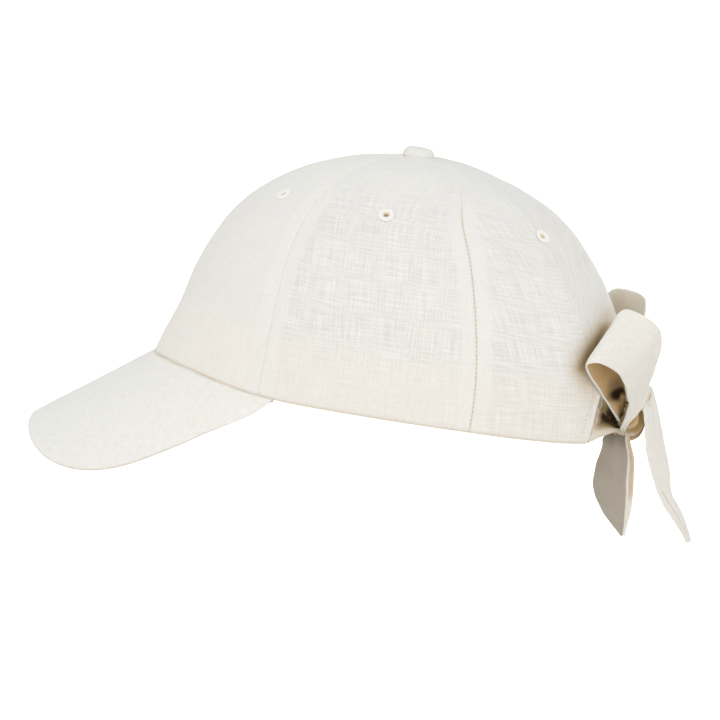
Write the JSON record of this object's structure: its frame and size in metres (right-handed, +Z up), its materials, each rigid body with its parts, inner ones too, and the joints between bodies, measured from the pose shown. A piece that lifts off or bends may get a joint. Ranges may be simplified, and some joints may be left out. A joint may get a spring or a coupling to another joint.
{
  "type": "linen baseball cap with back bow",
  "caption": "Soft linen baseball cap worn on a head: panelled crown with eyelets and covered button, curved visor, sweatband, and ties knotted in a bow under a half-moon back opening.",
  "frame": {"origin": "centre of the head opening, on the level of the rim at the sides, where a head carries the cap", "axes": "+Z up when worn, -Y the way the wearer faces and the visor points, +X the wearer's left; the cap's own rim plane is tipped 9.3 degrees, visor end up"},
  "size_m": [0.1596, 0.2879, 0.1734],
  "materials": {
    "crown_linen": "plain-woven off-white linen, matte, slightly sheer",
    "visor_linen": "the same linen stretched over a stiff board, matte",
    "button_linen": "linen drawn over a domed button, matte",
    "bow_linen": "doubled cream linen ribbon, matte",
    "eyelet_thread": "satin-stitched cotton thread, slight sheen",
    "band_tape": "woven cotton sweatband tape, matte"
  },
  "bodies": {
    "root": {"crown_panel_front_left": "crown_linen", "crown_panel_side_left": "crown_linen", "crown_panel_rear_left": "crown_linen", "crown_panel_front_right": "crown_linen", "crown_panel_side_right": "crown_linen", "crown_panel_rear_right": "crown_linen", "eyelet_front_left": "eyelet_thread", "eyelet_side_left": "eyelet_thread", "eyelet_rear_left": "eyelet_thread", "eyelet_front_right": "eyelet_thread", "eyelet_side_right": "eyelet_thread", "eyelet_rear_right": "eyelet_thread", "crown_button": "button_linen", "sweatband": "band_tape", "visor": "visor_linen", "bow_knot": "bow_linen", "bow_loop_left": "bow_linen", "bow_loop_right": "bow_linen", "tie_left": "bow_linen", "tie_right": "bow_linen", "bow_tail_inner": "bow_linen", "bow_tail_outer": "bow_linen"}
  },
  "joints": []
}
